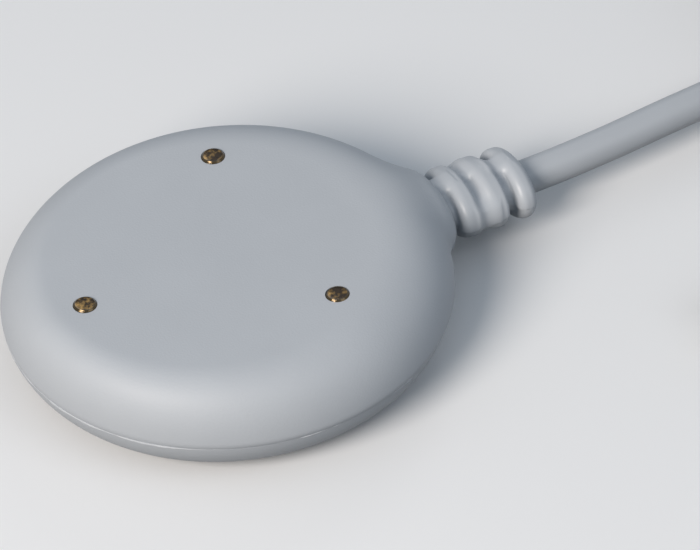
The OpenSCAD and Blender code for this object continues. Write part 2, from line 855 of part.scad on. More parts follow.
module plug_contacts() {
    color(GOLD)
        at_plug()
            for_blades()
                translate([plug_l - BLADE_RECESS - blade_l, -blade_t / 2, BLADE_RECESS])
                    cube([blade_l, blade_t, blade_h]);
}

module plug_latch() {
    root_d = 1.6;
    color(CLEAR)
        at_plug() translate([hinge_x, 0, hinge_z]) rotate([0, latch_angle, 0]) {
            translate([0, -latch_w / 2, 0]) rotate([-90, 0, 0]) cylinder(d = root_d, h = latch_w);
            translate([0, -latch_w / 2 - trunnion_l, 0]) rotate([-90, 0, 0])
                cylinder(d = trunnion_d, h = latch_w + 2 * trunnion_l);
            translate([-latch_wide_l, -latch_w / 2, latch_lift]) cube([latch_wide_l, latch_w, latch_t]);
            translate([-latch_l, -latch_tab_w / 2, latch_lift]) cube([latch_l, latch_tab_w, latch_t]);
        }
}

contact_cover();
base_cover();
contact_pin_1();
contact_pin_2();
contact_pin_3();
pin_seals();
seal_ring();
circuit_board();
sensing_chip();
output_transistor();
surge_diode();
component_leads();
chip_resistors();
chip_capacitors();
pin_solder_joints();
wire_solder_joints();
core_red();
core_black();
core_yellow();
core_white();
strain_relief();
cable_entry();
pull_stop();
cable_run();
cable_coil();
cable_tail();
coil_tie();
plug_boot();
plug_body();
plug_contacts();
plug_latch();
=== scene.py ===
"""Water leak sensor: a moulded puck with three brass contact pins, a ringed strain relief and a
signal lead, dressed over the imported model. Working sizes are millimetres until a mesh is made."""

import math
from itertools import product

import bmesh
import bpy
import numpy as np
from mathutils import Matrix, Vector, noise


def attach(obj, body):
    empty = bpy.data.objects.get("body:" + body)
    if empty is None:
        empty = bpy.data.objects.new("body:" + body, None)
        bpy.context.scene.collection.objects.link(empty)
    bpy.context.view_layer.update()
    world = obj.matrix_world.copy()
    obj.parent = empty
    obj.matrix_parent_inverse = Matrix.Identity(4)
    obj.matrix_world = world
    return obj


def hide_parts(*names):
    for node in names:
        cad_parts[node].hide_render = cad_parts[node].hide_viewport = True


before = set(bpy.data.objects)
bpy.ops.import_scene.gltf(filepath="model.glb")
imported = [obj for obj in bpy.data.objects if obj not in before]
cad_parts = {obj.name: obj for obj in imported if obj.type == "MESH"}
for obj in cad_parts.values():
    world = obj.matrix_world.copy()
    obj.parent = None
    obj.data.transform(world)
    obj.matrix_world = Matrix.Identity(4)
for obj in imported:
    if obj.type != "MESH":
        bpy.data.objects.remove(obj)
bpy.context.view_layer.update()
scene = bpy.context.scene
MM = 0.001

# Sizes shared with the part's source, first the puck's
BODY_R = 25.0
PARTING = 4.8
DOME_H = 8.2
FACE_Z = PARTING + DOME_H
HOLLOW_R = 20
CEILING = 11
CEILING_ROUND = 4
FLOOR = 1.8
FLOOR_ROUND = 2
TONGUE_IN, TONGUE_OUT = 22.3, 23.3
TONGUE_H = 1
TONGUE_CLEAR = 0.1
SEAL_T = 0.6
BOARD_TOP = 8.6
BOARD_Z = 7.0
POST_ANGLES = (45, 135, 225, 315)
POST_CIRCLE_R = 13
POST_R = 1.6
PEG_R = 0.8
PEG_H = 1.2

# The pins'
PIN_R = 1.3
PIN_CIRCLE_R = 15.85
PIN_SHIFT = 1.5
PIN_ANGLES = {"contact_pin_1": 180, "contact_pin_2": 60, "contact_pin_3": 300}
PIN_CLEAR = 0.05
HEAD_DEPTH = 0.7
WASHER_T = 0.4
SHANK_R = 0.95
TAIL_R = 0.5
TAIL_REACH = 1.1
BOSS_R = 2.6

# The strain relief's, with distances along the lead's axis
NECK_END = 26.0
SLEEVE_R = 2.7
SLEEVE_START = 18
SLEEVE_CLEAR = 0.1
FLANGE_R = 4
FLANGE_START, FLANGE_END = 19.9, 21.1
EXIT_X = 36.6
EXIT_Z = PARTING
TILT = math.radians(5)

# The lead's, the coil's and the plug's
CABLE_D = 4.0
CABLE_CLEAR = 0.05
COIL_FROM = math.radians(150)
COIL_R = 29.5
COIL_Z = 2.7
COIL_TOP = 16.2
RUN_REACH = 39.4
RUN_ASIDE = 8.5
RUN_END = np.array([EXIT_X + RUN_REACH, RUN_ASIDE, COIL_Z])
COIL_WAY = np.array([math.sin(COIL_FROM), -math.cos(COIL_FROM), 0])
COIL_START = RUN_END + CABLE_D * COIL_WAY
COIL_X = COIL_START[0] - COIL_R * math.cos(COIL_FROM)
COIL_Y = COIL_START[1] - COIL_R * math.sin(COIL_FROM)
PLUG_REACH = 46
PLUG_X = COIL_X - PLUG_REACH
PLUG_Y = COIL_Y - COIL_R
PLUG_Z = 3.3
PLUG_BORE_L = 5
BOOT_L = 10

# The pins' bevel is wider here than in the part's source, as the photograph shows it
PIN_BEVEL = 0.2


def placed(name, data):
    """A new object in the scene."""
    made = bpy.data.objects.new(name, data)
    scene.collection.objects.link(made)
    return made


# Camera, at the angle that the photograph was taken from

AZIMUTH = math.radians(-26.34)
ELEVATION = math.radians(41.38)
DISTANCE = 1.335
YAW = math.radians(0.58)
PITCH = math.radians(0.08)
ROLL = math.radians(4.89)
FOCAL_MM = 626.8


def set_camera():
    back = Vector((
        math.sin(AZIMUTH) * math.cos(ELEVATION),
        -math.cos(AZIMUTH) * math.cos(ELEVATION),
        math.sin(ELEVATION),
    ))
    right = Vector((math.cos(AZIMUTH), math.sin(AZIMUTH), 0))
    look = Matrix((right, back.cross(right), back))
    turn = Matrix.Rotation(ROLL, 3, "Z") @ Matrix.Rotation(-PITCH, 3, "X") @ Matrix.Rotation(YAW, 3, "Y")
    lens = bpy.data.cameras.new("camera")
    lens.lens = FOCAL_MM
    lens.sensor_width = 36
    lens.clip_end = 20
    camera = placed("camera", lens)
    spot = Vector((0, 0, PARTING * MM)) + back * DISTANCE
    camera.matrix_world = Matrix.Translation(spot) @ (turn @ look).transposed().to_4x4()
    scene.camera = camera


set_camera()


# Materials

PVC_IOR = 1.53
SILICONE_IOR = 1.41
EPOXY_IOR = 1.55
CERAMIC_IOR = 1.6
POLYCARBONATE_IOR = 1.585
# Most of a noise's values lie between these
DRIFT_LOW, DRIFT_HIGH = 0.3, 0.7


def linear(code):
    """Linear colour of an sRGB hex value."""
    parts = [int(code[i:i + 2], 16) / 255 for i in (1, 3, 5)]
    return tuple(c / 12.92 if c <= 0.04045 else ((c + 0.055) / 1.055) ** 2.4 for c in parts) + (1,)


def per_metre(mm):
    """Scale of a pattern whose features are that many millimetres across."""
    return 1 / (mm * MM)


def add(tree, kind, sockets, **settings):
    """A node of that kind, with its own settings, and values or links on its sockets."""
    made = tree.nodes.new(kind)
    for name, value in settings.items():
        setattr(made, name, value)
    for name, value in sockets.items():
        if isinstance(value, bpy.types.NodeSocket):
            tree.links.new(value, made.inputs[name])
        else:
            made.inputs[name].default_value = value
    return made


def start_material(name):
    """A new material, its node tree, its Principled shader and its object coordinates."""
    made = bpy.data.materials.new(name)
    made.use_nodes = True
    tree = made.node_tree
    shader = tree.nodes["Principled BSDF"]
    place = add(tree, "ShaderNodeTexCoord", {}).outputs["Object"]
    return made, tree, shader, place


def two_tone(tree, factor, low, high, dark, light):
    """Colour that goes from dark to light as factor goes from low to high."""
    ramp = add(tree, "ShaderNodeValToRGB", {"Fac": factor})
    ramp.color_ramp.elements[0].position = low
    ramp.color_ramp.elements[0].color = linear(dark)
    ramp.color_ramp.elements[1].position = high
    ramp.color_ramp.elements[1].color = linear(light)
    return ramp.outputs["Color"]


def plain_finish(name, dark, light, patch, grain, depth, rough, ior=1.5, metal=0.0):
    """A material whose colour drifts between two tones over patches, with a fine surface grain.
    patch, grain and depth are millimetres; rough is a pair, from smooth patches to dull ones."""
    made, tree, shader, place = start_material(name)
    drift = add(tree, "ShaderNodeTexNoise", {"Vector": place, "Scale": per_metre(patch), "Detail": 3.0})
    pits = add(tree, "ShaderNodeTexNoise", {"Vector": place, "Scale": per_metre(grain), "Detail": 2.0})
    dull = add(tree, "ShaderNodeMapRange", {
        "Value": drift.outputs["Fac"], "From Min": DRIFT_LOW, "From Max": DRIFT_HIGH,
        "To Min": rough[0], "To Max": rough[1],
    })
    bump = add(tree, "ShaderNodeBump", {
        "Height": pits.outputs["Fac"], "Strength": 1.0, "Distance": depth * MM,
    })
    tone = two_tone(tree, drift.outputs["Fac"], DRIFT_LOW, DRIFT_HIGH, dark, light)
    tree.links.new(tone, shader.inputs["Base Color"])
    tree.links.new(dull.outputs["Result"], shader.inputs["Roughness"])
    tree.links.new(bump.outputs["Normal"], shader.inputs["Normal"])
    shader.inputs["Metallic"].default_value = metal
    shader.inputs["IOR"].default_value = ior
    return made


# Moulded soft PVC off a spark-eroded tool: a satin grey with a faint orange peel
shell_pvc = plain_finish(
    "moulded_grey_pvc", "#b5babf", "#b8bdc2",
    patch=9, grain=0.25, depth=0.02, rough=(0.53, 0.58), ior=PVC_IOR,
)
# The strain relief comes from the same PVC, off a smoother tool, so it is a little glossier
relief_pvc = plain_finish(
    "moulded_relief_pvc", "#b6bbc0", "#b9bec3",
    patch=5, grain=0.4, depth=0.004, rough=(0.36, 0.44), ior=PVC_IOR,
)
# Extruded PVC jacket: even and satin, with a slow waver in its skin
jacket_pvc = plain_finish(
    "extruded_pvc_jacket", "#b2b7bc", "#b6bbc0",
    patch=9, grain=1.1, depth=0.008, rough=(0.4, 0.48), ior=PVC_IOR,
)
# Moulded flash at the joint: a thin fin, painted paler than the body as a painted highlight where it
# catches the light
flash_painted_highlight_pvc = plain_finish(
    "pvc_mould_flash_painted_highlight", "#c3c7cb", "#d0d3d6",
    patch=3, grain=0.3, depth=0.004, rough=(0.4, 0.5), ior=PVC_IOR,
)
# Black silicone seals: matt, with a dusting that dulls them in patches
seal_rubber = plain_finish(
    "moulded_silicone", "#26282b", "#33363a",
    patch=3, grain=0.15, depth=0.004, rough=(0.55, 0.7), ior=SILICONE_IOR,
)
# Green solder mask over glass cloth: glossy, the cloth just felt through it
mask_green = plain_finish(
    "green_solder_mask", "#14512f", "#1c6a3e",
    patch=4, grain=0.5, depth=0.006, rough=(0.22, 0.34), ior=EPOXY_IOR,
)
# Moulded epoxy of chip packages: matt black
epoxy_black = plain_finish(
    "moulded_epoxy", "#17181a", "#212225",
    patch=1, grain=0.08, depth=0.004, rough=(0.5, 0.62), ior=EPOXY_IOR,
)
# Tinned copper leads and the crimped ring: dull silver
tin_plate = plain_finish(
    "tinned_copper", "#a9abad", "#c2c4c6",
    patch=0.8, grain=0.1, depth=0.002, rough=(0.28, 0.42), metal=1.0,
)
# Solder: brighter than tin, with a faint skin
solder_alloy = plain_finish(
    "reflowed_solder", "#b7b8b9", "#cfd0d1",
    patch=0.6, grain=0.15, depth=0.003, rough=(0.2, 0.32), metal=1.0,
)
# Glazed ceramic chips, tan for capacitors and near black for resistors
ceramic_tan = plain_finish(
    "tan_ceramic", "#8a6a4a", "#a07d5a",
    patch=0.6, grain=0.1, depth=0.002, rough=(0.35, 0.45), ior=CERAMIC_IOR,
)
ceramic_dark = plain_finish(
    "black_resistor_glaze", "#1d1f24", "#2a2c33",
    patch=0.6, grain=0.1, depth=0.002, rough=(0.25, 0.35), ior=CERAMIC_IOR,
)
# Insulation of the four cores: thin glossy PVC
CORE_TONES = {
    "red": ("#a02a26", "#b5332d"), "black": ("#1b1c1e", "#26272a"),
    "yellow": ("#c79a26", "#d8aa30"), "white": ("#d6d7d6", "#e2e3e2"),
}
core_finish = {
    f"core_{tint}": plain_finish(
        f"{tint}_core_pvc", dark, light,
        patch=2, grain=0.3, depth=0.003, rough=(0.3, 0.4), ior=PVC_IOR,
    )
    for tint, (dark, light) in CORE_TONES.items()
}
# Gold over nickel on the plug's blades: bright, with fine stamping marks
blade_gold = plain_finish(
    "gold_flash_on_nickel", "#c8a04a", "#dcb764",
    patch=0.7, grain=0.08, depth=0.001, rough=(0.18, 0.28), metal=1.0,
)


def pin_brass():
    """Turned brass that has tarnished: a dark brown face with golden flecks, each pin's its own, and a
    smooth dark bevel."""
    made, tree, shader, place = start_material("tarnished_turned_brass")
    own = add(tree, "ShaderNodeObjectInfo", {})
    own_place = add(tree, "ShaderNodeVectorMath", {0: place, 1: own.outputs["Random"]}, operation="ADD")
    blotch = add(tree, "ShaderNodeTexNoise", {
        "Vector": own_place.outputs["Vector"], "Scale": per_metre(0.9), "Detail": 4.0, "Roughness": 0.65,
    })
    face_tone = two_tone(tree, blotch.outputs["Fac"], 0.48, 0.74, "#33271a", "#c39d5e")
    across = add(tree, "ShaderNodeSeparateXYZ", {"Vector": place})
    flat_place = add(tree, "ShaderNodeCombineXYZ", {"X": across.outputs["X"], "Y": across.outputs["Y"]})
    reach = add(tree, "ShaderNodeVectorMath", {"Vector": flat_place.outputs["Vector"]}, operation="LENGTH")
    face_r = PIN_R - PIN_BEVEL
    fade = 0.06
    bevel = add(tree, "ShaderNodeMapRange", {
        "Value": reach.outputs["Value"], "From Min": (face_r - fade) * MM, "From Max": face_r * MM,
    })
    tone = add(tree, "ShaderNodeMix", {"Factor": bevel.outputs["Result"]}, data_type="RGBA")
    tree.links.new(face_tone, tone.inputs["A"])
    tone.inputs["B"].default_value = linear("#54462f")
    rough = add(tree, "ShaderNodeMapRange", {
        "Value": bevel.outputs["Result"], "To Min": 0.34, "To Max": 0.16,
    })
    # Turning marks are about 0.03 mm apart on such a pin, drawn at 0.12 mm so that they show
    marks = add(tree, "ShaderNodeTexWave", {
        "Vector": place, "Scale": per_metre(0.12) / (2 * math.pi), "Distortion": 3.0, "Detail": 2.0,
    }, wave_type="RINGS", rings_direction="Z")
    rough_spots = add(tree, "ShaderNodeTexNoise", {
        "Vector": own_place.outputs["Vector"], "Scale": per_metre(0.35), "Detail": 3.0,
    })
    marks_bump = add(tree, "ShaderNodeBump", {
        "Height": marks.outputs["Fac"], "Strength": 0.5, "Distance": 0.01 * MM,
    })
    bump = add(tree, "ShaderNodeBump", {
        "Height": rough_spots.outputs["Fac"], "Normal": marks_bump.outputs["Normal"],
        "Strength": 0.8, "Distance": 0.06 * MM,
    })
    tree.links.new(tone.outputs["Result"], shader.inputs["Base Color"])
    tree.links.new(rough.outputs["Result"], shader.inputs["Roughness"])
    tree.links.new(bump.outputs["Normal"], shader.inputs["Normal"])
    shader.inputs["Metallic"].default_value = 1.0
    shader.inputs["Coat Weight"].default_value = 0.5
    shader.inputs["Coat Roughness"].default_value = 0.15
    return made


def strap_weave():
    """Woven nylon tie: a black ribbed weave with a soft nap."""
    made, tree, shader, place = start_material("woven_black_nylon")
    ribs = add(tree, "ShaderNodeTexWave", {
        "Vector": place, "Scale": per_metre(0.7) / (2 * math.pi), "Distortion": 0.6, "Detail": 1.0,
    }, wave_type="BANDS", bands_direction="Y")
    nap = add(tree, "ShaderNodeTexNoise", {"Vector": place, "Scale": per_metre(0.2), "Detail": 3.0})
    height = add(tree, "ShaderNodeMath", {0: ribs.outputs["Fac"], 1: nap.outputs["Fac"]}, operation="ADD")
    bump = add(tree, "ShaderNodeBump", {
        "Height": height.outputs["Value"], "Strength": 0.8, "Distance": 0.08 * MM,
    })
    tone = two_tone(tree, nap.outputs["Fac"], 0.35, 0.7, "#1c1d20", "#34363a")
    tree.links.new(tone, shader.inputs["Base Color"])
    tree.links.new(bump.outputs["Normal"], shader.inputs["Normal"])
    shader.inputs["Roughness"].default_value = 0.8
    shader.inputs["Sheen Weight"].default_value = 0.3
    return made


def clear_polycarbonate():
    """Moulded clear polycarbonate: glassy, with faint flow lines in its skin."""
    made, tree, shader, place = start_material("clear_polycarbonate")
    flow = add(tree, "ShaderNodeTexNoise", {"Vector": place, "Scale": per_metre(3), "Detail": 2.0})
    bump = add(tree, "ShaderNodeBump", {
        "Height": flow.outputs["Fac"], "Strength": 0.4, "Distance": 0.05 * MM,
    })
    tone = two_tone(tree, flow.outputs["Fac"], DRIFT_LOW, DRIFT_HIGH, "#dfe4e6", "#e9edee")
    tree.links.new(tone, shader.inputs["Base Color"])
    tree.links.new(bump.outputs["Normal"], shader.inputs["Normal"])
    shader.inputs["Transmission Weight"].default_value = 0.85
    shader.inputs["Roughness"].default_value = 0.12
    shader.inputs["IOR"].default_value = POLYCARBONATE_IOR
    return made


brass = pin_brass()
weave = strap_weave()
polycarbonate = clear_polycarbonate()


# Making pieces

def solid(name, points, faces):
    """An object from points in millimetres, doubled points joined and faces turned outwards."""
    mesh = bpy.data.meshes.new(name)
    mesh.from_pydata((np.asarray(points) * MM).tolist(), [], [list(f) for f in faces])
    work = bmesh.new()
    work.from_mesh(mesh)
    bmesh.ops.remove_doubles(work, verts=work.verts, dist=1e-8)
    bmesh.ops.recalc_face_normals(work, faces=work.faces)
    work.to_mesh(mesh)
    work.free()
    return placed(name, mesh)


def dress(made, finish, stands_for=(), body="sensor", sharp=35):
    """Smooth shading with sharp edges past that many degrees, the finish, and the body it rides on."""
    if made.type == "MESH":
        made.data.shade_smooth()
        made.data.set_sharp_from_angle(angle=math.radians(sharp))
    made.data.materials.clear()
    made.data.materials.append(finish)
    if stands_for:
        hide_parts(*stands_for)
    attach(made, body)
    return made


def settle(made):
    """Applies a piece's modifiers."""
    result = bpy.data.meshes.new_from_object(made.evaluated_get(bpy.context.evaluated_depsgraph_get()))
    made.modifiers.clear()
    made.data = result


def lofted(rows, columns, closed=False):
    """Quads between rows of points that each run round, and from the last row to the first if closed."""
    return [
        (i * columns + k, i * columns + (k + 1) % columns,
         (i + 1) % rows * columns + (k + 1) % columns, (i + 1) % rows * columns + k)
        for i in range(rows if closed else rows - 1) for k in range(columns)
    ]


def capped(rows, columns):
    """The same for a bar, its first and last rows being its end faces."""
    ends = [tuple(range(columns)), tuple(range((rows - 1) * columns, rows * columns))]
    return lofted(rows, columns) + ends


def turned(profile, sides=96):
    """Points and faces of a profile of (radius, height) turned about the vertical axis."""
    angles = [2 * math.pi * k / sides for k in range(sides)]
    points = [(r * math.cos(a), r * math.sin(a), z) for r, z in profile for a in angles]
    return points, lofted(len(profile), sides)


def closed_turn(profile, sides=96):
    """The same for a profile that comes back to its start."""
    return turned(list(profile) + [profile[0]], sides)


def stepped(low, *steps):
    """Profile of a stepped bar from that height up: each step is a radius and the height it ends at."""
    profile = [(0, low)]
    for r, high in steps:
        profile += [(r, low), (r, high)]
        low = high
    return profile + [(0, low)]


def hoop(inner, outer, low, high):
    """Profile of a plain ring."""
    return [(inner, low), (outer, low), (outer, high), (inner, high)]


def arc(cx, cy, r, start, end, steps=8):
    """Points on an arc, angles in degrees."""
    spread = [math.radians(start + (end - start) * i / steps) for i in range(steps + 1)]
    return [(cx + r * math.cos(a), cy + r * math.sin(a)) for a in spread]


def on_lead(along, y, up):
    """A place on the strain relief's tilted axis, as the part's source has it."""
    return (
        EXIT_X + (along - EXIT_X) * math.cos(TILT) + up * math.sin(TILT),
        y,
        EXIT_Z - (along - EXIT_X) * math.sin(TILT) + up * math.cos(TILT),
    )


def along_lead(shape):
    """A turned shape laid along the strain relief's axis, its heights being distances along it."""
    points, faces = shape
    return [on_lead(z, y, -x) for x, y, z in points], faces


def moved(shape, x, y):
    """A shape set down at that place."""
    points, faces = shape
    return [(px + x, py + y, pz) for px, py, pz in points], faces


def gathered(shapes):
    """Several shapes as one."""
    points, faces = [], []
    for more_points, more_faces in shapes:
        faces += [[i + len(points) for i in f] for f in more_faces]
        points += more_points
    return points, faces


def round_place(angle, circle_r):
    """A place on a circle round the middle of the three pins, the angle in degrees."""
    a = math.radians(angle)
    return circle_r * math.cos(a) - PIN_SHIFT, circle_r * math.sin(a)


def spread_round(profile, angles, circle_r, sides=48):
    """Copies of a turned shape on such a circle."""
    return gathered([moved(turned(profile, sides), *round_place(a, circle_r)) for a in angles])


def trim(made, spot, away):
    """Cuts off what lies past a plane, and closes the cut."""
    level = Vector(spot) * MM
    way = Vector(away)
    work = bmesh.new()
    work.from_mesh(made.data)
    bmesh.ops.bisect_plane(
        work, geom=work.verts[:] + work.edges[:] + work.faces[:], dist=1e-7,
        plane_co=level, plane_no=way, clear_outer=True,
    )
    rim = [
        e for e in work.edges
        if e.is_boundary and all(abs((v.co - level).dot(way)) < 1e-6 for v in e.verts)
    ]
    bmesh.ops.holes_fill(work, edges=rim, sides=0)
    bmesh.ops.recalc_face_normals(work, faces=work.faces)
    work.to_mesh(made.data)
    work.free()


def carve(made, *steps):
    """Applies booleans in turn: each step is an operation and a shape."""
    tools = []
    for operation, shape in steps:
        tool = solid("tool", *shape)
        change = made.modifiers.new("carve", "BOOLEAN")
        change.operation = operation
        change.solver = "MANIFOLD"
        change.object = tool
        tools.append(tool)
    settle(made)
    for tool in tools:
        bpy.data.objects.remove(tool)


def skin(field, low, high, step):
    """Points and quads of the surface where field is zero, found on a grid and then drawn onto it."""
    axes = [np.arange(a, b + step, step) for a, b in zip(low, high)]
    value = field(np.stack(np.meshgrid(*axes, indexing="ij"), axis=-1))
    inside = value < 0

    def corner(grid, offset):
        return grid[tuple(slice(o, n - 1 + o) for o, n in zip(offset, grid.shape))]

    cells = tuple(n - 1 for n in value.shape)
    total = np.zeros(cells + (3,))
    hits = np.zeros(cells)
    for axis in range(3):
        for offset in product((0, 1), repeat=3):
            if offset[axis]:
                continue
            ahead = tuple(o + (i == axis) for i, o in enumerate(offset))
            near, far = corner(value, offset), corner(value, ahead)
            crossed = (near < 0) != (far < 0)
            share = np.where(crossed, near / np.where(crossed, near - far, 1), 0)
            place = np.array(offset, float) + share[..., None] * np.eye(3)[axis]
            total += np.where(crossed[..., None], place, 0)
            hits += crossed
    found = hits > 0
    index = np.full(cells, -1)
    index[found] = np.arange(found.sum())
    points = np.array(low) + step * (np.argwhere(found) + total[found] / hits[found][:, None])

    quads = []
    for axis in range(3):
        order = (axis, (axis + 1) % 3, (axis + 2) % 3)
        side = np.transpose(inside, order)
        cell = np.transpose(index, order)
        ring = [cell[:, :-1, :-1], cell[:, 1:, :-1], cell[:, 1:, 1:], cell[:, :-1, 1:]]
        near, far = side[:-1, 1:-1, 1:-1], side[1:, 1:-1, 1:-1]
        quads.append(np.stack([r[near & ~far] for r in ring], axis=-1))
        quads.append(np.stack([r[far & ~near] for r in reversed(ring)], axis=-1))

    tiny = 1e-3
    least_slope = 0.2
    rounds = 4
    for _ in range(rounds):
        slope = np.stack([
            (field(points + e) - field(points - e)) / (2 * tiny) for e in np.eye(3) * tiny
        ], axis=-1)
        points = points - (field(points) / np.maximum((slope ** 2).sum(-1), least_slope))[:, None] * slope
    return points, np.concatenate(quads).tolist()


def melted(a, b, k):
    """The nearer of two surfaces, with a fillet of about that size where they meet."""
    near = np.maximum(k - np.abs(a - b), 0) / k
    return np.minimum(a, b) - near * near * k / 4


def oval_gap(y, up, half_w, half_h):
    """Distance, nearly, from an oval of those half sizes."""
    k = half_w / half_h
    rho = np.hypot(y, up * k)
    return (rho - half_w) * rho / np.maximum(np.hypot(y, up * k * k), 1e-6)


def rod(gap, along, start, end, corner):
    """Distance from a bar along the axis with that gap to its side, its edges rounded."""
    out = gap + corner
    past = np.maximum(start + corner - along, along - end + corner)
    return (
        np.minimum(np.maximum(out, past), 0) + np.hypot(np.maximum(out, 0), np.maximum(past, 0)) - corner
    )


def lead_place(p):
    """The lead's own coordinates: distance along its axis, across, and up from it."""
    x, y, z = p[..., 0] - EXIT_X, p[..., 1], p[..., 2] - EXIT_Z
    along = EXIT_X + x * math.cos(TILT) - z * math.sin(TILT)
    up = x * math.sin(TILT) + z * math.cos(TILT)
    return along, y, up


# Shells

UPPER_R = BODY_R - 0.02
FACE_R = 18.2
FACE_SHIFT = 1.8
# Fullness of the shoulder: 2 is an ellipse, more is squarer. It varies round the shell
FULL, FULL_LONG, FULL_SLANT = 2.56, -0.11, 0.4
FULL_BACK = -0.91
FULL_FRONT = -0.4
# The joint shows this high. The shell is widest a little above it, and draws in below that
JOINT_Z = 5.5
WAIST_H = 0.8
WAIST_LOSS = 0.28
# The lower half of the mould is slightly smaller and out of line with the upper one
LOWER_R = BODY_R - 0.24
LOWER_OFF = (-0.12, 0.05)
EDGE_R = 7.0
NECK_START = 15
NECK_HALF_W = 5.6
NECK_HALF_H = 3.95
NECK_ROUND = 1.5
NECK_FILLET_UP = 3.4
NECK_FILLET_DOWN = 3.6


def neck_field(p):
    """The flattened neck that runs from the puck to the first ring."""
    along, y, up = lead_place(p)
    return rod(oval_gap(y, up, NECK_HALF_W, NECK_HALF_H), along, NECK_START, NECK_END, NECK_ROUND)


def upper_field(p):
    """The domed upper shell: circles that drift forwards as they widen from the face to the rim."""
    x = p[..., 0] + FACE_SHIFT
    y = p[..., 1]
    z = p[..., 2] - PARTING
    widen = UPPER_R - FACE_R
    a = widen ** 2 - FACE_SHIFT ** 2
    b = 2 * (FACE_SHIFT * x + FACE_R * widen)
    c = x * x + y * y - FACE_R ** 2
    share = (np.sqrt(np.maximum(b * b + 4 * a * c, 0)) - b) / (2 * a)
    reach = np.maximum(FACE_R + widen * share, 1)
    ahead = (x - FACE_SHIFT * share) / reach
    aside = y / reach
    full = FULL + FULL_BACK * np.maximum(aside, 0) + FULL_FRONT * np.maximum(-aside, 0)
    full += FULL_LONG * (ahead ** 2 - aside ** 2) + FULL_SLANT * ahead * aside
    width = widen + FACE_SHIFT * ahead
    drawn_in = np.maximum(1 - (p[..., 2] - JOINT_Z) / WAIST_H, 0) ** 2
    share = np.maximum(share, 0) + WAIST_LOSS / widen * drawn_in
    rise_h = DOME_H - WAIST_H
    rise = np.maximum(z - WAIST_H, 0) / rise_h
    q = np.maximum((share ** full + rise ** full) ** (1 / full), 1e-6)
    steep = np.hypot((share / q) ** (full - 1) / width, (rise / q) ** (full - 1) / rise_h)
    least_steep = 0.5 / DOME_H
    dome = (q - 1) / np.maximum(steep, least_steep)
    return melted(dome, neck_field(p), NECK_FILLET_UP)


def lower_field(p):
    """The base: a flat rest face whose edge turns up on one radius to the joint."""
    z = np.minimum(p[..., 2], EDGE_R)
    edge_x = LOWER_R - math.sqrt(2 * EDGE_R * JOINT_Z - JOINT_Z ** 2)
    out = np.maximum(np.hypot(p[..., 0] - LOWER_OFF[0], p[..., 1] - LOWER_OFF[1]) - edge_x, 0)
    base = np.hypot(out, EDGE_R - z) - EDGE_R
    return np.maximum(melted(base, neck_field(p), NECK_FILLET_DOWN), -p[..., 2])


# Tools that cut or fill the shells run past what they meet by this much
OVER = 1
GLAND_START, GLAND_END = 17.5, 28
GLAND_R = SLEEVE_R + SLEEVE_CLEAR
GLAND = stepped(
    GLAND_START, (GLAND_R, FLANGE_START - SLEEVE_CLEAR),
    (FLANGE_R + SLEEVE_CLEAR, FLANGE_END + SLEEVE_CLEAR), (GLAND_R, GLAND_END),
)
TONGUE = hoop(TONGUE_IN, TONGUE_OUT, PARTING - OVER, PARTING + TONGUE_H)
GROOVE = hoop(
    TONGUE_IN - TONGUE_CLEAR, TONGUE_OUT + TONGUE_CLEAR, PARTING - OVER, PARTING + TONGUE_H + SEAL_T,
)
BOSS = stepped(BOARD_TOP, (BOSS_R, CEILING + OVER))
PIN_BORE = stepped(
    BOARD_TOP - OVER, (SHANK_R + PIN_CLEAR, FACE_Z - HEAD_DEPTH - WASHER_T),
    (PIN_R + PIN_CLEAR, FACE_Z + OVER),
)
# The posts under the board start inside the floor
POST_FOOT = 1
POST = stepped(POST_FOOT, (POST_R, BOARD_Z), (PEG_R, BOARD_Z + PEG_H))
JOINT_SIDES = 192
# Each shell's surface is looked for from the first corner of its box to the second
SHELL_STEP = 0.3
UPPER_BOX = (-26, -26, PARTING - 0.7), (27, 26, FACE_Z + 1)
LOWER_BOX = (-26, -26, -0.6), (27, 26, PARTING + 0.8)


def make_shells():
    """Both shells, hollow inside, with room for the pins, the board and the strain relief."""
    upper = solid("upper_shell", *skin(upper_field, *UPPER_BOX, SHELL_STEP))
    trim(upper, (0, 0, JOINT_Z), (0, 0, -1))
    above = [(0, PARTING - OVER), (HOLLOW_R, PARTING - OVER)]
    above += arc(HOLLOW_R - CEILING_ROUND, CEILING - CEILING_ROUND, CEILING_ROUND, 0, 90)
    above += [(0, CEILING)]
    carve(
        upper,
        ("DIFFERENCE", moved(turned(above), -PIN_SHIFT, 0)),
        ("UNION", spread_round(BOSS, PIN_ANGLES.values(), PIN_CIRCLE_R)),
        ("DIFFERENCE", closed_turn(GROOVE, JOINT_SIDES)),
        ("DIFFERENCE", along_lead(turned(GLAND))),
        ("DIFFERENCE", spread_round(PIN_BORE, PIN_ANGLES.values(), PIN_CIRCLE_R)),
    )
    dress(upper, shell_pvc, ["contact_cover"])

    lower = solid("lower_shell", *skin(lower_field, *LOWER_BOX, SHELL_STEP))
    trim(lower, (0, 0, JOINT_Z), (0, 0, 1))
    below = [(0, FLOOR)]
    below += arc(HOLLOW_R - FLOOR_ROUND, FLOOR + FLOOR_ROUND, FLOOR_ROUND, -90, 0)
    below += [(HOLLOW_R, PARTING + OVER), (0, PARTING + OVER)]
    carve(
        lower,
        ("DIFFERENCE", moved(turned(below), -PIN_SHIFT, 0)),
        ("UNION", closed_turn(TONGUE, JOINT_SIDES)),
        ("UNION", spread_round(POST, POST_ANGLES, POST_CIRCLE_R)),
        ("DIFFERENCE", along_lead(turned(GLAND))),
    )
    dress(lower, shell_pvc, ["base_cover"])


# The fin starts and ends beside the neck, and grows over a run-out there
FLASH_STEPS = 1200
FLASH_OPEN = math.radians(13.3)
FLASH_RUNOUT = math.radians(20)
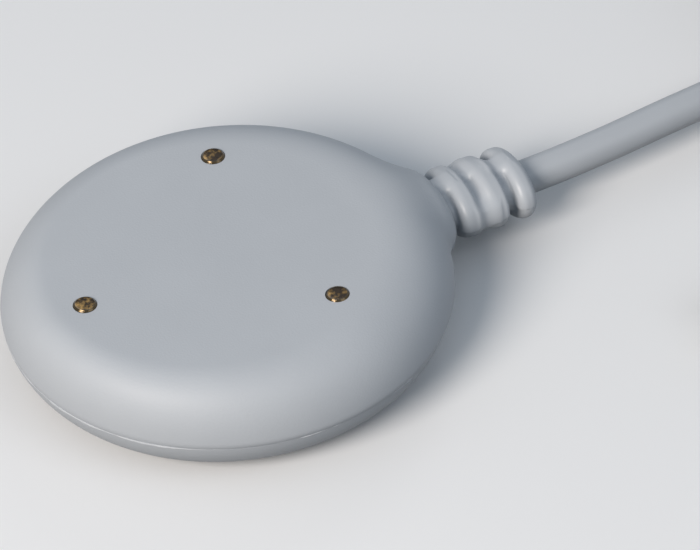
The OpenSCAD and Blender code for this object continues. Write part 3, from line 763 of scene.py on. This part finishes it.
# The rim is looked for between these radii, halving what lies between
RIM_LOW, RIM_HIGH = 20.0, 29.0
RIM_HALVINGS = 30
FLASH_REACH = 0.12
FLASH_RIPPLE = 0.07
FLASH_SINK = 0.06
FLASH_LIFT = 0.06
FLASH_HALF_T = 0.04
FLASH_ROOT = 0.3
FLASH_ROOT_HALF_T = 0.12


def make_flash():
    """The thin uneven fin of plastic that the mould leaves all round the joint."""
    angles = np.linspace(FLASH_OPEN, 2 * math.pi - FLASH_OPEN, FLASH_STEPS)
    heading = np.stack([np.cos(angles), np.sin(angles), np.zeros_like(angles)], axis=-1)
    low = np.full(FLASH_STEPS, RIM_LOW)
    high = np.full(FLASH_STEPS, RIM_HIGH)
    for _ in range(RIM_HALVINGS):
        middle = (low + high) / 2
        place = heading * middle[:, None] + np.array([0, 0, JOINT_Z])
        out = np.minimum(upper_field(place), lower_field(place)) > 0
        high = np.where(out, middle, high)
        low = np.where(out, low, middle)
    grown = np.clip((math.pi - FLASH_OPEN - np.abs(angles - math.pi)) / FLASH_RUNOUT, 0, 1)
    points = []
    for rim, way, share in zip(low, heading, grown):
        # Coarse and fine ripples, on stretches where the fin wasn't trimmed away
        ripple = noise.noise(Vector(way) * 9) + 0.6 * noise.noise(Vector(way) * 31)
        stretch = min(max(2.5 * noise.noise(Vector(way) * 6 + Vector((0, 2, 5))) + 0.45, 0), 1) * share
        reach = (FLASH_REACH + FLASH_RIPPLE * max(-0.9, min(1, 1.6 * ripple))) * stretch - FLASH_SINK
        lift = FLASH_LIFT * noise.noise(Vector(way) * 5 + Vector((3, 1, 0)))
        section = (
            (-FLASH_ROOT, -FLASH_ROOT_HALF_T), (reach, lift - FLASH_HALF_T),
            (reach, lift + FLASH_HALF_T), (-FLASH_ROOT, FLASH_ROOT_HALF_T),
        )
        for back, up in section:
            points.append(tuple(way * (rim + back) + np.array([0, 0, JOINT_Z + up])))
    # Opposite the lead the fin stays just inside the puck's own reach
    points = [(max(x, 0.01 - BODY_R), y, z) for x, y, z in points]
    faces = capped(FLASH_STEPS, len(points) // FLASH_STEPS)
    # The fin's paler tone is a painted highlight along the joint
    dress(solid("parting_flash", points, faces), flash_painted_highlight_pvc)


# How far each pin stands out of the face
PIN_PROUD = {"contact_pin_1": 0.22, "contact_pin_2": 0.2, "contact_pin_3": 0.14}
# The slightly dished face inside the bevel: radius, and depth below the pin's top
PIN_DISH = [(PIN_R - PIN_BEVEL - 0.05, 0.015), (0.85, 0.05), (0.6, 0.03), (0.35, 0.055), (0, 0.04)]


def make_pins():
    """Turned pins: a bevelled head with a dished face, a shank and a solder tail."""
    for node, angle in PIN_ANGLES.items():
        top = FACE_Z + PIN_PROUD[node]
        profile = stepped(
            BOARD_Z - TAIL_REACH, (TAIL_R, BOARD_TOP), (SHANK_R, FACE_Z - HEAD_DEPTH),
            (PIN_R, top - PIN_BEVEL),
        )[:-1]
        profile += [(PIN_R - PIN_BEVEL, top)]
        profile += [(r, top - depth) for r, depth in PIN_DISH]
        pin = solid(node.replace("contact", "brass"), *turned(profile, 64))
        x, y = round_place(angle, PIN_CIRCLE_R)
        pin.location = (x * MM, y * MM, 0)
        dress(pin, brass, [node])


# Strain relief: rings, soft bridges that turn a quarter from gap to gap, and a moulding line

# Each ring's start and end, and the rounding of its near and far edges
RINGS = [(27.2, 29.45, 1.1, 0.6), (30.7, 33.05, 1.1, 0.5), (34.4, 36.72, 1.0, 1.0)]
# Each gap's start and end, and whether its bridges are at the sides
GAPS = [(26.0, 27.2, False), (29.45, 30.7, True), (33.05, 34.4, False)]
RING_HALF_W = 5.08
RING_HALF_H = 3.52
RING_MELT = 0.3
CORE_HALF_W = 3.3
CORE_HALF_H = 2.42
CORE_START, CORE_END = 25, 36
SLEEVE_ROUND = 0.2
FLANGE_ROUND = 0.1
BRIDGE_DROP = 0.3
BRIDGE_HALF_W = 1.3
BRIDGE_ASIDE = 0.45
BRIDGE_ROUND = 0.7
BRIDGE_OVERLAP = 0.8
BRIDGE_MELT = 0.9
SIDE_BRIDGE_HALF_H = 1.85
# Behind the crest the middle gap is only this deep
BACK_GROOVE = 0.7
BACK_START = 0.3
BACK_ROUND = 0.3
# Below the joint of the mould the rings are a little smaller and their near faces lie further back
MOULD_STEP = 0.06
MOULD_SETBACK = 0.25
RELIEF_STEP = 0.12
RELIEF_BOX = (17.4, -5.3, 0.6), (37.2, 5.3, 10.8)
BORE_START, BORE_END = 17, 39


def relief_field(p):
    """Sleeve and flange inside the puck, then the core with its rings and bridges."""
    along, y, up = lead_place(p)
    above = PARTING - p[..., 2]
    rho = np.hypot(y, up)
    rim = oval_gap(y, up, RING_HALF_W, RING_HALF_H)
    core = oval_gap(y, up, CORE_HALF_W, CORE_HALF_H)
    shape = np.minimum(
        rod(rho - SLEEVE_R, along, SLEEVE_START, NECK_END, SLEEVE_ROUND),
        rod(rho - FLANGE_R, along, FLANGE_START, FLANGE_END, FLANGE_ROUND),
    )
    shape = np.minimum(shape, rod(core, along, CORE_START, CORE_END, SLEEVE_ROUND))
    for start, end, near_corner, far_corner in RINGS:
        corner = np.where(along < (start + end) / 2, near_corner, far_corner)
        upper_half = np.maximum(rod(rim, along, start, end, corner), above)
        lower_half = np.maximum(rod(rim + MOULD_STEP, along, start + MOULD_SETBACK, end, corner), -above)
        shape = melted(shape, np.minimum(upper_half, lower_half), RING_MELT)
    for start, end, at_sides in GAPS:
        aside = up if at_sides else y - BRIDGE_ASIDE
        half = SIDE_BRIDGE_HALF_H if at_sides else BRIDGE_HALF_W
        bar = rod(rim + BRIDGE_DROP, aside, -half, half, BRIDGE_ROUND)
        if at_sides:
            web = np.maximum(rod(rim + BACK_GROOVE, y, BACK_START, RING_HALF_W, BACK_ROUND), -up)
            bar = np.minimum(bar, web)
        bar = np.maximum(bar, np.maximum(start - along, along - end - BRIDGE_OVERLAP))
        shape = melted(shape, bar, BRIDGE_MELT)
    return shape


def make_relief():
    """The strain relief, bored for the lead."""
    relief = solid("strain_relief_moulding", *skin(relief_field, *RELIEF_BOX, RELIEF_STEP))
    bore = stepped(BORE_START, (CABLE_D / 2 + CABLE_CLEAR, BORE_END))
    carve(relief, ("DIFFERENCE", along_lead(turned(bore, 64))))
    dress(relief, relief_pvc, ["strain_relief"], sharp=50)


# Lead: one unbroken length from the strain relief through the coil to the plug

# Places on its way to the coil: past the exit, across, and height
RUN = [
    (3, -0.1, 4.7), (7, -0.2, 4.7), (13, -0.15, 4.7), (19, 0.1, 4.7), (25, 0.45, 4.5), (29, 1, 4.1),
    (33, 2.4, 3.5), (36.6, 4.95, 2.95),
]
# Places on its way down from the coil: back from the coil's middle, and height
TAIL = [(8, 15.6), (12, 14.1), (16, 11.7), (20, 9.1), (24, 6.5), (28, 4.5), (32, 3.5), (36, 3.3)]
# Two close points hold the line's direction where stretches meet
HOLD = 0.5
LAYERS = 4
WHOLE_TURNS = 12
LAST_TURN_DEGREES = 240
LAYER_TURNS = (WHOLE_TURNS + LAST_TURN_DEGREES / 360) / LAYERS
# Share of a turn over which the lead climbs to the next layer
LAYER_CLIMB = 0.5
TURN_PITCH = 4.6
LAYER_STEP = 4.5
TURN_POINTS = 48


def eased(u):
    """From 0 to 1 with a soft start and end."""
    u = min(max(u, 0), 1)
    return u * u * (3 - 2 * u)


def turn_point(t):
    """A place in the coil after that many turns: layers wind inwards and outwards in turn."""
    back = t % (2 * LAYER_TURNS)
    r = COIL_R - TURN_PITCH * min(back, 2 * LAYER_TURNS - back)
    climbs = [eased((t - k * LAYER_TURNS) / LAYER_CLIMB + 0.5) for k in range(1, LAYERS)]
    angle = COIL_FROM - 2 * math.pi * t
    return COIL_X + r * math.cos(angle), COIL_Y + r * math.sin(angle), COIL_Z + LAYER_STEP * sum(climbs)


def through(stops, steps=6):
    """A smooth line through those points."""
    stops = np.asarray(stops, float)
    full = np.concatenate([[2 * stops[0] - stops[1]], stops, [2 * stops[-1] - stops[-2]]])
    line = []
    for a, b, c, d in zip(full, full[1:], full[2:], full[3:]):
        for i in range(steps):
            u = i / steps
            line.append(0.5 * (
                2 * b + (c - a) * u
                + (2 * a - 5 * b + 4 * c - d) * u ** 2 + (3 * b - a - 3 * c + d) * u ** 3
            ))
    return [tuple(p) for p in line] + [tuple(stops[-1])]


def lead_route():
    """The lead's whole line."""
    run = [on_lead(EXIT_X + x, 0, 0) for x in (0, HOLD)]
    run += [(EXIT_X + x, y, z) for x, y, z in RUN]
    run += [tuple(RUN_END - HOLD * COIL_WAY), tuple(RUN_END)]
    count = round(LAYERS * LAYER_TURNS * TURN_POINTS)
    coil = [turn_point(i / TURN_POINTS) for i in range(count + 1)]
    tail = [(COIL_X - CABLE_D - x, PLUG_Y, COIL_TOP) for x in (0, HOLD)]
    tail += [(COIL_X - x, PLUG_Y, z) for x, z in TAIL]
    tail += [(PLUG_X, PLUG_Y, PLUG_Z), (PLUG_X - PLUG_BORE_L, PLUG_Y, PLUG_Z)]
    return through(run) + coil + through(tail)


def make_lead():
    """The jacketed lead, as a curve with a round section."""
    line = bpy.data.curves.new("signal_lead", "CURVE")
    line.dimensions = "3D"
    line.bevel_depth = CABLE_D / 2 * MM
    line.bevel_resolution = 6
    line.use_fill_caps = True
    route = lead_route()
    spline = line.splines.new("POLY")
    spline.points.add(len(route) - 1)
    for point, spot in zip(spline.points, route):
        point.co = (spot[0] * MM, spot[1] * MM, spot[2] * MM, 1)
    spline.use_smooth = True
    lead = placed("signal_lead", line)
    return dress(lead, jacket_pvc, ["cable_run", "cable_coil", "cable_tail"])


# Strap round the turns. Its end laps over itself at the outside
STRAP_ROOM = 1
STRAP_LOW, STRAP_HIGH = 0.0, 18.9
STRAP_ROUND = 1.6
STRAP_INSET = 0.3
STRAP_T = 0.28
STRAP_HALF_W = 2.5
STRAP_EDGE = 0.15
LAP_LOW, LAP_HIGH = 2.2, 16.4
LAP_POINTS = 12


def strap_loop(left, right, inset):
    """A loop of (x, z) places with round corners, that far inside the box round the turns."""
    r = STRAP_ROUND - inset
    near, far = left + inset + r, right - inset - r
    foot, top = STRAP_LOW + inset + r, STRAP_HIGH - inset - r
    corners = ((far, foot, -90), (far, top, 0), (near, top, 90), (near, foot, 180))
    return [spot for x, z, start in corners for spot in arc(x, z, r, start, start + 90, 6)]


def strap_layer(route, closed):
    """Points and faces of the strap laid along a route of (x, z) places."""
    flat = STRAP_HALF_W - STRAP_EDGE
    section = [(-flat, -STRAP_T / 2), (flat, -STRAP_T / 2), (STRAP_HALF_W, 0)]
    section += [(flat, STRAP_T / 2), (-flat, STRAP_T / 2), (-STRAP_HALF_W, 0)]
    n, m = len(route), len(section)
    points = []
    for i, (x, z) in enumerate(route):
        before = route[i - 1] if closed or i else route[i]
        after = route[(i + 1) % n] if closed or i < n - 1 else route[i]
        dx, dz = after[0] - before[0], after[1] - before[1]
        size = math.hypot(dx, dz)
        for y, out in section:
            points.append((x + out * dz / size, COIL_Y + y, z - out * dx / size))
    return points, lofted(n, m, closed=True) if closed else capped(n, m)


def make_strap():
    """A flat woven tie: one layer all round, and a second where its end laps over."""
    left = COIL_X + COIL_R - LAYER_TURNS * TURN_PITCH - CABLE_D / 2 - STRAP_ROOM
    right = COIL_X + COIL_R + CABLE_D / 2 + STRAP_ROOM
    inner = strap_layer(strap_loop(left, right, STRAP_INSET + STRAP_T / 2), True)
    lap = [(right - STRAP_T / 2, z) for z in np.linspace(LAP_LOW, LAP_HIGH, LAP_POINTS)]
    outer = strap_layer(lap, False)
    return dress(solid("coil_strap", *gathered([inner, outer])), weave, ["coil_tie"])


# Boot, from the lead's end to the plug's: profiles are (radius, distance from its tip)
BOOT_TIP = [(2.05, 0), (2.45, 0), (2.6, 0.2)]
BOOT_FOOT = [(3.1, BOOT_L - 0.2), (3.0, BOOT_L), (2.05, BOOT_L)]
BOOT_TAPER = 0.05
GRIPS = 4
GRIP_START = 1.4
GRIP_PITCH = 1.9
GRIP_GROOVE = [(0, 0), (-0.28, 0.2), (-0.28, 0.7), (0.03, 0.9)]


def make_boot():
    """The plug's boot: a tapered sleeve with shallow grip rings."""
    profile = list(BOOT_TIP)
    for k in range(GRIPS):
        at = GRIP_START + GRIP_PITCH * k
        r = BOOT_TIP[-1][0] + BOOT_TAPER * at
        profile += [(r + out, at + on) for out, on in GRIP_GROOVE]
    profile += BOOT_FOOT
    points, faces = closed_turn(profile, 64)
    points = [(PLUG_X + BOOT_L - z, PLUG_Y + x, PLUG_Z + y) for x, y, z in points]
    return dress(solid("plug_boot_sleeve", points, faces), jacket_pvc, ["plug_boot"], sharp=60)


PLUG_ROUND = 0.12
# Edges flatter than the first angle are joined up, and edges past the second are rounded
FLAT_ANGLE = math.radians(2)
ROUND_ANGLE = math.radians(40)


def softened(node, name, body):
    """A clear copy of a CAD node's solid with its edges rounded off, which stands for the node."""
    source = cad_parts[node]
    work = bmesh.new()
    work.from_mesh(source.data)
    work.transform(source.matrix_world)
    bmesh.ops.remove_doubles(work, verts=work.verts, dist=1e-7)
    bmesh.ops.dissolve_limit(work, angle_limit=FLAT_ANGLE, verts=work.verts, edges=work.edges)
    mesh = bpy.data.meshes.new(name)
    work.to_mesh(mesh)
    work.free()
    made = placed(name, mesh)
    rounding = made.modifiers.new("rounding", "BEVEL")
    rounding.width = PLUG_ROUND * MM
    rounding.segments = 2
    rounding.limit_method = "ANGLE"
    rounding.angle_limit = ROUND_ANGLE
    settle(made)
    return dress(made, polycarbonate, [node], body)


make_shells()
make_flash()
make_pins()
make_relief()
lead = make_lead()
strap = make_strap()
boot = make_boot()
plug = softened("plug_body", "plug_housing", "sensor")
latch = softened("plug_latch", "plug_latch_tab", "latch")

# Pieces inside the puck and the plug keep their CAD shapes
NODE_FINISH = {
    "pin_seals": seal_rubber, "seal_ring": seal_rubber, "circuit_board": mask_green,
    "sensing_chip": epoxy_black, "output_transistor": epoxy_black, "surge_diode": epoxy_black,
    "component_leads": tin_plate, "chip_resistors": ceramic_dark, "chip_capacitors": ceramic_tan,
    "pin_solder_joints": solder_alloy, "wire_solder_joints": solder_alloy, "cable_entry": jacket_pvc,
    "pull_stop": tin_plate, "plug_contacts": blade_gold, **core_finish,
}
for node_name, finish in NODE_FINISH.items():
    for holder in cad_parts[node_name].material_slots:
        holder.material = finish


# Stage. Each lamp's place from the puck and its width, in metres, then its power and its tint

LAMPS = {
    "key": ((-0.60, -0.27, 0.45), 0.42, 5.9, "#fff6ee"),
    "front_right": ((0.24, -0.42, 0.5), 0.4, 0.45, "#f4f8ff"),
    "back": ((0.44, 0.50, 0.42), 0.3, 0.3, "#ffffff"),
}
FILL = 0.36
FILL_TINT = "#dceafa"
BACKDROP = "#c8cbce"
# The floor as the camera sees it, and as it throws light back on the object
FLOOR_SHOWN = "#f0f1f1"
FLOOR_BOUNCE = "#626466"
# Half the floor's width, and how far it lies below the rest face, in metres
FLOOR_HALF = 3.0
FLOOR_DROP = 2e-5


def show_stage(tree):
    """Factor that is one where the camera sees the stage, directly or in a reflection."""
    path = add(tree, "ShaderNodeLightPath", {})
    mirrored = add(tree, "ShaderNodeMath", {
        0: path.outputs["Is Glossy Ray"], 1: path.outputs["Is Transmission Ray"],
    }, operation="MAXIMUM")
    return add(tree, "ShaderNodeMath", {
        0: path.outputs["Is Camera Ray"], 1: mirrored.outputs["Value"],
    }, operation="MAXIMUM").outputs["Value"]


def make_floor():
    card, tree, shader, _ = start_material("pale_matt_card")
    tone = add(tree, "ShaderNodeMix", {"Factor": show_stage(tree)}, data_type="RGBA")
    tone.inputs["A"].default_value = linear(FLOOR_BOUNCE)
    tone.inputs["B"].default_value = linear(FLOOR_SHOWN)
    tree.links.new(tone.outputs["Result"], shader.inputs["Base Color"])
    shader.inputs["Roughness"].default_value = 0.85
    mesh = bpy.data.meshes.new("floor")
    corners = [(x * FLOOR_HALF, y * FLOOR_HALF, 0) for x, y in ((-1, -1), (1, -1), (1, 1), (-1, 1))]
    mesh.from_pydata(corners, [], [(0, 1, 2, 3)])
    mesh.materials.append(card)
    floor = placed("floor", mesh)
    floor.location.z = -FLOOR_DROP


def make_light():
    world = bpy.data.worlds.new("studio")
    world.use_nodes = True
    scene.world = world
    tree = world.node_tree
    tree.nodes.clear()
    fill = add(tree, "ShaderNodeBackground", {"Color": linear(FILL_TINT), "Strength": FILL})
    backdrop = add(tree, "ShaderNodeBackground", {"Color": linear(BACKDROP), "Strength": 1.0})
    mixed = add(tree, "ShaderNodeMixShader", {
        "Fac": show_stage(tree), 1: fill.outputs["Background"], 2: backdrop.outputs["Background"],
    })
    add(tree, "ShaderNodeOutputWorld", {"Surface": mixed.outputs["Shader"]})
    for name, (place, width, power, tint) in LAMPS.items():
        light = bpy.data.lights.new(name, "AREA")
        light.shape = "DISK"
        light.size = width
        light.energy = power
        light.color = linear(tint)[:3]
        lamp = placed(name, light)
        lamp.location = place
        lamp.rotation_euler = Vector(place).to_track_quat("Z", "Y").to_euler()
    scene.view_settings.view_transform = "Standard"


make_floor()
make_light()
